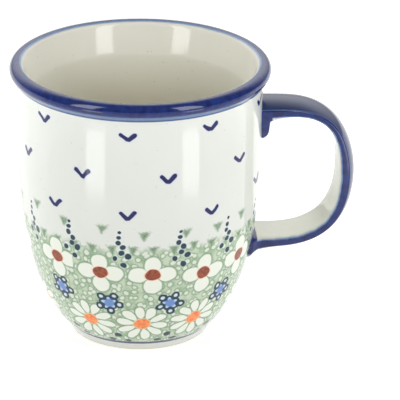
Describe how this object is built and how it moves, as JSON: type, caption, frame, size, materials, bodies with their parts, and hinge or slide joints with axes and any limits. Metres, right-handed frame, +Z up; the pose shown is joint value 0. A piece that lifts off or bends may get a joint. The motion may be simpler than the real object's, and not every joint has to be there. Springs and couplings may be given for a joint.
{
  "type": "stoneware mug",
  "caption": "Straight-sided glazed stoneware mug with a rolled lip, rounded foot and strap handle, for hot drinks.",
  "frame": {"origin": "middle of the footprint of mug and handle together, on the plane that the foot ring stands on", "axes": "+Z up along the mug's axis, +X from the mug's axis towards the handle, +Y across the handle"},
  "size_m": [0.12, 0.0898, 0.098],
  "materials": {
    "stamped_glaze": "gloss",
    "cobalt_glaze": "gloss"
  },
  "bodies": {
    "root": {"mug_body": "stamped_glaze", "handle": "cobalt_glaze", "upper_luting_collar": "cobalt_glaze", "lower_luting_collar": "cobalt_glaze"}
  },
  "joints": []
}
